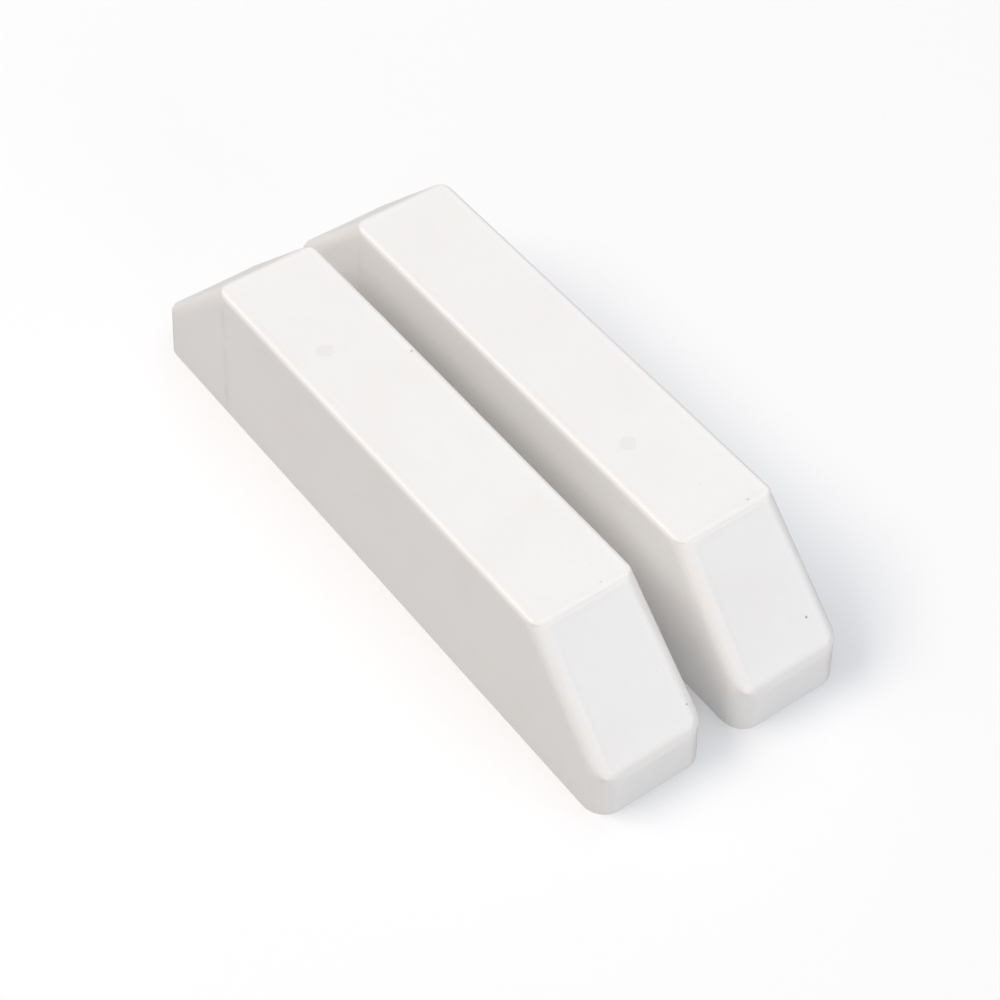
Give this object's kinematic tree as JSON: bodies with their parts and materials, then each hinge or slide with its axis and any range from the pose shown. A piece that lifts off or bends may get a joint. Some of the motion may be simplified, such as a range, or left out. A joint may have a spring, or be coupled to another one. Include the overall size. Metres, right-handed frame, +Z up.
{
  "type": "magnetic door contact",
  "caption": "Surface-mount reed switch unit and its bar magnet unit, side by side, each under a glossy white clip-on cover with sloped ends.",
  "frame": {"origin": "on the mounting surface, midway between the switch unit and the magnet unit and midway along their length", "axes": "+X along both units; +Y from the switch unit towards the magnet unit, the way the magnet leaves when the door opens; +Z up off the mounting surface"},
  "size_m": [0.064, 0.0252, 0.014],
  "materials": {
    "cover_plastic": "glossy warm white moulded plastic",
    "base_plastic": "satin off-white moulded plastic",
    "brass": "bright stamped brass",
    "plated_steel": "bright zinc plated steel",
    "reed_glass": "clear glass with a faint green tint",
    "reed_alloy": "satin nickel iron",
    "sleeve_rubber": "matte red silicone",
    "solder": "soft bright tin",
    "magnet": "dark cast magnet alloy, ground ends"
  },
  "bodies": {
    "switch_unit": {"switch_base": "base_plastic", "terminal_nut_1": "brass", "terminal_nut_2": "brass", "terminal_plate_1": "brass", "terminal_plate_2": "brass", "reed_glass": "reed_glass", "reed_lead_fixed": "reed_alloy", "reed_lead_moving": "reed_alloy", "reed_sleeve_1": "sleeve_rubber", "reed_sleeve_2": "sleeve_rubber", "solder_joint_1": "solder", "solder_joint_2": "solder"},
    "switch_cap": {"switch_cover": "cover_plastic"},
    "clamp_1": {"clamp_washer_1": "plated_steel"},
    "screw_1": {"terminal_screw_1": "plated_steel"},
    "clamp_2": {"clamp_washer_2": "plated_steel"},
    "screw_2": {"terminal_screw_2": "plated_steel"},
    "reed_armature": {"reed_blade_moving": "reed_alloy"},
    "magnet_unit": {"magnet_base": "base_plastic", "bar_magnet": "magnet"},
    "magnet_cap": {"magnet_cover": "cover_plastic"}
  },
  "joints": [
    {"name": "switch_cover_lift", "type": "slide", "parent": "switch_unit", "child": "switch_cap", "axis": [0, 0, 1], "range_m": [0, 0.02]},
    {"name": "magnet_unit_travel", "type": "slide", "parent": "switch_unit", "child": "magnet_unit", "axis": [0, 1, 0], "range_m": [0, 0.03]},
    {"name": "magnet_cover_lift", "type": "slide", "parent": "magnet_unit", "child": "magnet_cap", "axis": [0, 0, 1], "range_m": [0, 0.02]},
    {"name": "clamp_1_rise", "type": "slide", "parent": "switch_unit", "child": "clamp_1", "axis": [0, 0, 1], "range_m": [0, 0.0015]},
    {"name": "terminal_screw_1_turn", "type": "hinge", "parent": "clamp_1", "child": "screw_1", "pos_m": [-0.017, -0.007, 0.0089], "axis": [0, 0, 1], "range_deg": [0, 1080]},
    {"name": "clamp_2_rise", "type": "slide", "parent": "switch_unit", "child": "clamp_2", "axis": [0, 0, 1], "range_m": [0, 0.0015]},
    {"name": "terminal_screw_2_turn", "type": "hinge", "parent": "clamp_2", "child": "screw_2", "pos_m": [0.017, -0.007, 0.0089], "axis": [0, 0, 1], "range_deg": [0, 1080]},
    {"name": "reed_flex", "type": "hinge", "parent": "switch_unit", "child": "reed_armature", "pos_m": [-0.0048, -0.007, 0.0041], "axis": [0, 1, 0], "range_deg": [-1.3, 0]}
  ],
  "couplings": [
    {"joint": "terminal_screw_1_turn", "follows": "clamp_1_rise", "rad_per_m": 12566},
    {"joint": "terminal_screw_2_turn", "follows": "clamp_2_rise", "rad_per_m": 12566},
    {"joint": "reed_flex", "follows": "magnet_unit_travel", "rad_per_m": -0.69813}
  ]
}
